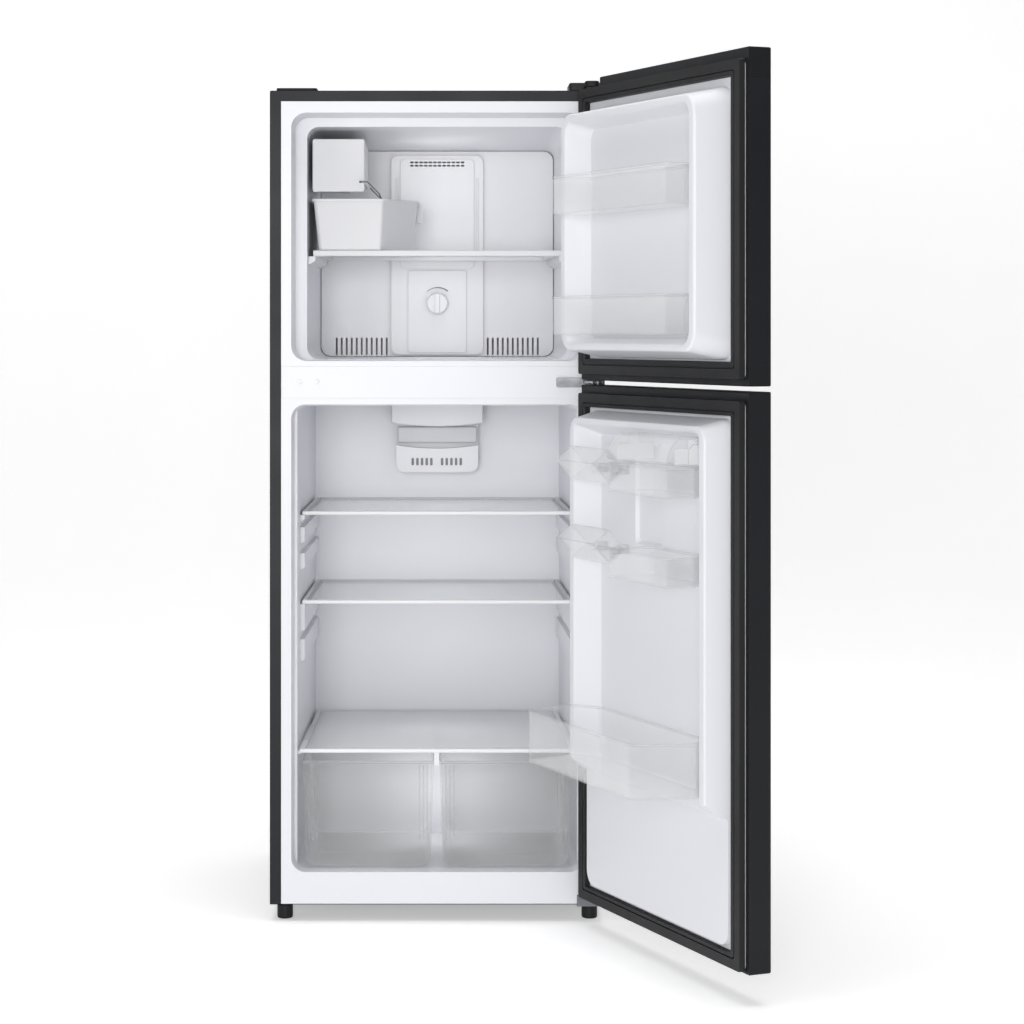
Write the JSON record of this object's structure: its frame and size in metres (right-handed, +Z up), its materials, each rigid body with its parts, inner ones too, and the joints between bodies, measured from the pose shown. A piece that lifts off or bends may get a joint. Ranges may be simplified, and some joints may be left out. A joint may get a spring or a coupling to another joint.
{
  "type": "top freezer refrigerator",
  "caption": "Free-standing upright refrigerator with a freezer compartment above a larger fresh-food compartment, hinged doors, shelves, drawers, door bins and an icemaker.",
  "frame": {"origin": "on the floor, directly below the middle of the cabinet's front face", "axes": "+Z up, -Y out of the front of the cabinet towards the user, +X towards the hinge side"},
  "size_m": [0.8234, 1.2065, 1.5035],
  "materials": {
    "black_steel": "black enamel with a light orange-peel texture",
    "white_steel": "white enamel",
    "grey_steel": "zinc-plated",
    "dark_steel": "grey-black powder coat",
    "foam": "rigid foam, skinned",
    "white_liner": "satin, vacuum formed",
    "white_plastic": "satin moulded",
    "clear_plastic": "clear moulded",
    "smoke_plastic": "frosted",
    "black_plastic": "fine moulded texture",
    "grey_plastic": "moulded",
    "black_rubber": "matt",
    "glass": "clear tempered",
    "aluminium": "satin",
    "copper": "drawn copper tube"
  },
  "bodies": {
    "cabinet": {"outer_cabinet": "black_steel", "back_panel": "dark_steel", "cabinet_foam": "foam", "freezer_liner": "white_liner", "fridge_liner": "white_liner", "mullion_cover": "white_steel", "hole_plugs": "white_plastic", "condenser": "aluminium", "top_hinge": "dark_steel", "middle_hinge": "grey_steel", "bottom_hinge": "grey_steel", "hinge_screws": "grey_steel", "top_covers": "black_plastic", "base_plate": "grey_steel", "compressor": "dark_steel", "compressor_mounts": "black_rubber", "drain_pan": "black_plastic", "refrigerant_tubes": "copper", "cord_gland": "black_plastic", "evaporator_cover": "white_plastic", "evaporator_coil": "aluminium", "fan_motor": "grey_steel", "freezer_shelf_frame": "white_plastic", "freezer_shelf_glass": "glass", "icemaker_cover": "white_plastic", "icemaker_mould": "aluminium", "shelf_frames": "grey_plastic", "shelf_panes": "glass", "crisper_cover_frame": "grey_plastic", "crisper_cover_glass": "glass", "duct_cover": "white_plastic", "lamp_lens": "smoke_plastic"},
    "freezer_door": {"freezer_door_skin": "black_steel", "freezer_door_end_caps": "black_plastic", "freezer_door_foam": "foam", "freezer_door_liner": "white_liner", "freezer_door_gasket": "black_rubber", "freezer_door_bins": "clear_plastic"},
    "fridge_door": {"fridge_door_skin": "black_steel", "fridge_door_end_caps": "black_plastic", "fridge_door_foam": "foam", "fridge_door_liner": "white_liner", "fridge_door_gasket": "black_rubber", "fridge_half_bins": "clear_plastic", "can_racks": "clear_plastic", "bottom_bin": "clear_plastic", "dairy_cheeks": "white_plastic"},
    "dairy_lid": {"dairy_lid": "clear_plastic"},
    "fan_blade": {"fan_blade": "black_plastic"},
    "icemaker_ejector": {"icemaker_ejector": "grey_plastic"},
    "icemaker_arm": {"icemaker_arm": "grey_steel"},
    "ice_bin": {"ice_bin": "white_plastic"},
    "crisper_left": {"crisper_left": "clear_plastic"},
    "crisper_right": {"crisper_right": "clear_plastic"},
    "front_foot_left": {"front_foot_left": "black_plastic"},
    "front_foot_right": {"front_foot_right": "black_plastic"},
    "rear_roller_left": {"rear_roller_left": "black_plastic"},
    "rear_roller_right": {"rear_roller_right": "black_plastic"},
    "freezer_knob": {"freezer_knob": "white_plastic"}
  },
  "joints": [
    {"name": "freezer_door_hinge", "type": "hinge", "parent": "cabinet", "child": "freezer_door", "pos_m": [0.2855, -0.038, 1.23], "axis": [0, 0, 1], "range_deg": [-112.5, 12.5]},
    {"name": "fridge_door_hinge", "type": "hinge", "parent": "cabinet", "child": "fridge_door", "pos_m": [0.2855, -0.038, 0.51], "axis": [0, 0, 1], "range_deg": [-112.5, 12.5]},
    {"name": "crisper_left_slide", "type": "slide", "parent": "cabinet", "child": "crisper_left", "axis": [0, -1, 0], "range_m": [0, 0.3]},
    {"name": "crisper_right_slide", "type": "slide", "parent": "cabinet", "child": "crisper_right", "axis": [0, -1, 0], "range_m": [0, 0.3]},
    {"name": "ice_bin_slide", "type": "slide", "parent": "cabinet", "child": "ice_bin", "axis": [0, -1, 0], "range_m": [0, 0.28]},
    {"name": "dairy_lid_hinge", "type": "hinge", "parent": "fridge_door", "child": "dairy_lid", "pos_m": [0.37033, -0.43095, 0.886], "axis": [-0.3827, 0.9239, 0], "range_deg": [0, 45]},
    {"name": "icemaker_arm_hinge", "type": "hinge", "parent": "cabinet", "child": "icemaker_arm", "pos_m": [-0.141, 0.1, 1.331], "axis": [0, -1, 0], "range_deg": [0, 35]},
    {"name": "icemaker_ejector_spin", "type": "hinge", "parent": "cabinet", "child": "icemaker_ejector", "pos_m": [-0.195, 0.217, 1.372], "axis": [0, 1, 0], "continuous": true},
    {"name": "freezer_knob_turn", "type": "hinge", "parent": "cabinet", "child": "freezer_knob", "pos_m": [0, 0.405, 1.112], "axis": [0, 1, 0], "range_deg": [-50, 50]},
    {"name": "evaporator_fan_spin", "type": "hinge", "parent": "cabinet", "child": "fan_blade", "pos_m": [0, 0.465, 1.3], "axis": [0, 1, 0], "continuous": true},
    {"name": "rear_roller_left_spin", "type": "hinge", "parent": "cabinet", "child": "rear_roller_left", "pos_m": [-0.251, 0.568, 0.018], "axis": [1, 0, 0], "continuous": true},
    {"name": "rear_roller_right_spin", "type": "hinge", "parent": "cabinet", "child": "rear_roller_right", "pos_m": [0.251, 0.568, 0.018], "axis": [1, 0, 0], "continuous": true},
    {"name": "front_foot_left_turn", "type": "hinge", "parent": "cabinet", "child": "front_foot_left", "pos_m": [-0.2745, 0.035, 0.012], "axis": [0, 0, 1], "continuous": true},
    {"name": "front_foot_right_turn", "type": "hinge", "parent": "cabinet", "child": "front_foot_right", "pos_m": [0.2745, 0.035, 0.012], "axis": [0, 0, 1], "continuous": true}
  ]
}
